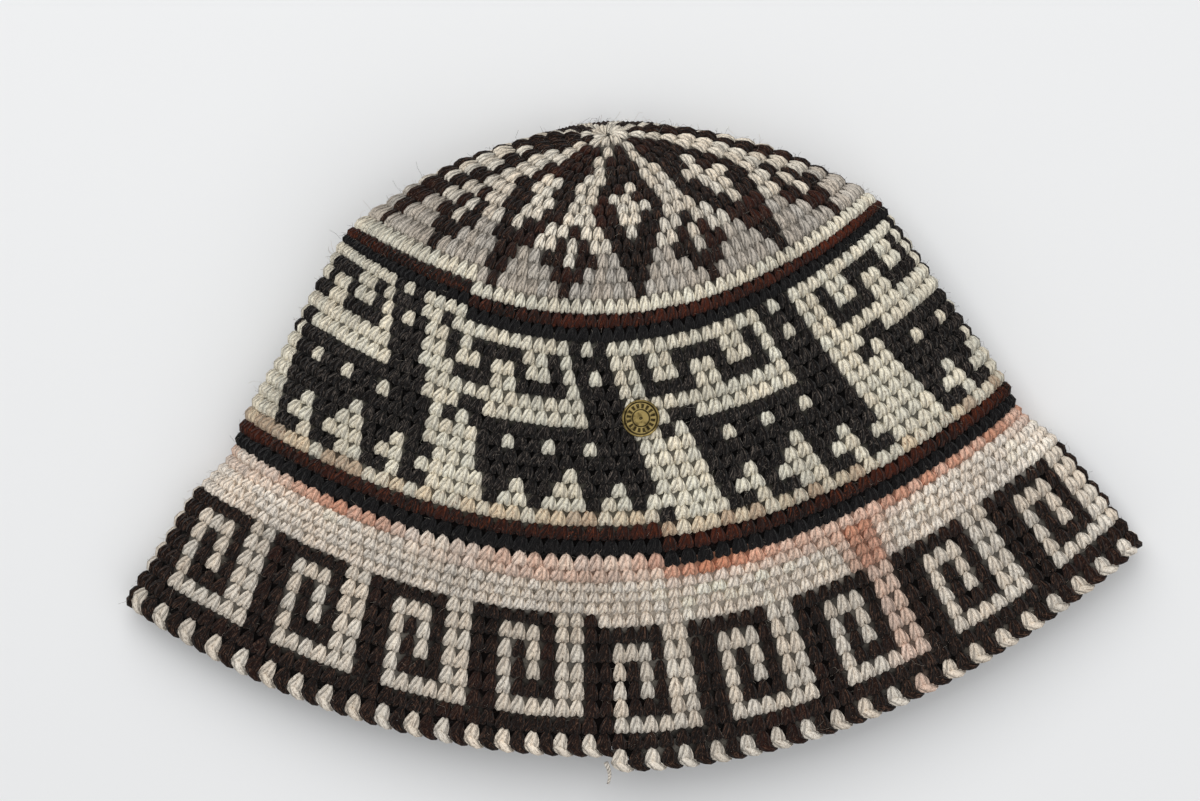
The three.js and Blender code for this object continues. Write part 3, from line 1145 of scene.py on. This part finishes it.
class HAT_OT_wall(bpy.types.Operator):
    """Build the side wall with its figures"""

    bl_idname = "hat.wall"
    bl_label = "Side wall"

    def execute(self, context):
        build_node(context, "crown_wall", UPPER_BAND_END, WALL_END, 14)
        return {"FINISHED"}


class HAT_OT_brim(bpy.types.Operator):
    """Build the brim with its plain rounds and its squares"""

    bl_idname = "hat.brim"
    bl_label = "Brim"

    def execute(self, context):
        build_node(context, "brim", LOWER_BAND_END, BRIM_END, 15)
        return {"FINISHED"}


class HAT_OT_edging(bpy.types.Operator):
    """Build the dotted round and the braided rim"""

    bl_idname = "hat.edging"
    bl_label = "Edging"

    def execute(self, context):
        build_node(context, "brim_edging", BRIM_END, LAST_ROUND, 16)
        return {"FINISHED"}


class HAT_OT_loose_yarn(bpy.types.Operator):
    """Add the stray hairs and the loose end of yarn"""

    bl_idname = "hat.loose_yarn"
    bl_label = "Loose yarn"

    def execute(self, context):
        loose = (
            stray_hairs(context, "stray_hairs", 9000, 4, 0.0014, 0.0038, 21),
            stray_hairs(context, "short_fuzz", 7800, 3, 0.0010, 0.0020, 22),
            yarn_tail(context),
        )
        for piece in loose:
            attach(piece, "root")
        return {"FINISHED"}


class HAT_OT_badge(bpy.types.Operator):
    """Give the badge and its plate their brass"""

    bl_idname = "hat.badge"
    bl_label = "Badge"

    def execute(self, context):
        low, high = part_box("badge")
        brass = brass_material(low, high)
        for node in ("badge", "badge_plate"):
            for slot in bpy.data.objects[node].material_slots:
                slot.material = brass
        return {"FINISHED"}


# The floor, just under the hat: its colour, half its width and how far down it is
FLOOR_WHITE = display(236, 237, 238)
FLOOR_HALF = 3.0
FLOOR_DROP = 0.0003

# The two square lights with their places and powers, their size and the point that they shine on
LIGHTS = (
    ("key_light", (-0.25, 0.85, 1.3), 15.8),
    ("fill_light", (0.6, -0.6, 1.3), 6.4),
)
LIGHT_SIZE = 1.6
LIGHT_AIM = Vector((0, 0, 0.02))
SKY_STRENGTH = 0.435

# The camera looks straight down on the hat, which lies a little turned
AIM_X, AIM_Y, AIM_Z = -0.0079, 0.015, 0.025
VIEW_WIDTH = 0.401
CAMERA_AWAY = 1.25
SENSOR = 36.0
TURNED = math.radians(3.3)


class HAT_OT_stage(bpy.types.Operator):
    """Lay the floor and set up the lights and the camera"""

    bl_idname = "hat.stage"
    bl_label = "Stage"

    def execute(self, context):
        mesh = bpy.data.meshes.new("floor")
        corners = ((-1, -1), (1, -1), (1, 1), (-1, 1))
        points = [(x * FLOOR_HALF, y * FLOOR_HALF, -FLOOR_DROP) for x, y in corners]
        mesh.from_pydata(points, [], [(0, 1, 2, 3)])
        mesh.materials.append(floor_material())
        floor = bpy.data.objects.new("floor", mesh)
        context.scene.collection.objects.link(floor)
        for name, place, power in LIGHTS:
            add_light(context, name, place, power)
        world = bpy.data.worlds.new("surroundings")
        world.use_nodes = True
        sky = world.node_tree.nodes["Background"].inputs
        sky["Color"].default_value = (1, 1, 1, 1)
        sky["Strength"].default_value = SKY_STRENGTH
        context.scene.world = world
        context.scene.view_settings.view_transform = "Standard"
        add_camera(context)
        return {"FINISHED"}


def add_light(context, name, place, power):
    """A square area light that shines on the hat."""
    light = bpy.data.lights.new(name, "AREA")
    light.size = LIGHT_SIZE
    light.energy = power
    lamp = bpy.data.objects.new(name, light)
    lamp.location = place
    lamp.rotation_euler = (LIGHT_AIM - Vector(place)).to_track_quat("-Z", "Y").to_euler()
    context.scene.collection.objects.link(lamp)


def add_camera(context):
    """A camera where the photograph was taken from."""
    data = bpy.data.cameras.new("camera")
    data.sensor_width = SENSOR
    data.lens = SENSOR * CAMERA_AWAY / VIEW_WIDTH
    camera = bpy.data.objects.new("camera", data)
    camera.location = (AIM_X, AIM_Y, AIM_Z + CAMERA_AWAY)
    camera.rotation_euler = (0, 0, -TURNED)
    context.scene.collection.objects.link(camera)
    context.scene.camera = camera


class HAT_PT_panel(bpy.types.Panel):
    """Sizes, colours and steps of the hat"""

    bl_idname = "HAT_PT_panel"
    bl_label = "Crocheted Sun Hat"
    bl_space_type = "VIEW_3D"
    bl_region_type = "UI"
    bl_category = "Hat"

    def draw(self, context):
        layout = self.layout
        for group in (context.scene.hat_sizes, context.scene.hat_yarns):
            for name in type(group).__annotations__:
                layout.prop(group, name)
        for step in STEPS:
            layout.operator(step.bl_idname)


STEPS = (
    HAT_OT_stage, HAT_OT_crown, HAT_OT_bands, HAT_OT_wall, HAT_OT_brim, HAT_OT_edging,
    HAT_OT_loose_yarn, HAT_OT_badge,
)
CLASSES = (HatYarns, HatSizes, *STEPS, HAT_PT_panel)


def register():
    """Adds the hat's classes and settings."""
    for one in CLASSES:
        bpy.utils.register_class(one)
    bpy.types.Scene.hat_yarns = bpy.props.PointerProperty(type=HatYarns)
    bpy.types.Scene.hat_sizes = bpy.props.PointerProperty(type=HatSizes)


def unregister():
    """Takes the hat's settings and classes away."""
    del bpy.types.Scene.hat_sizes
    del bpy.types.Scene.hat_yarns
    for one in reversed(CLASSES):
        bpy.utils.unregister_class(one)


def main():
    """Builds the hat and its stage."""
    register()
    for step in STEPS:
        group, name = step.bl_idname.split(".")
        getattr(getattr(bpy.ops, group), name)()


if __name__ == "__main__":
    main()
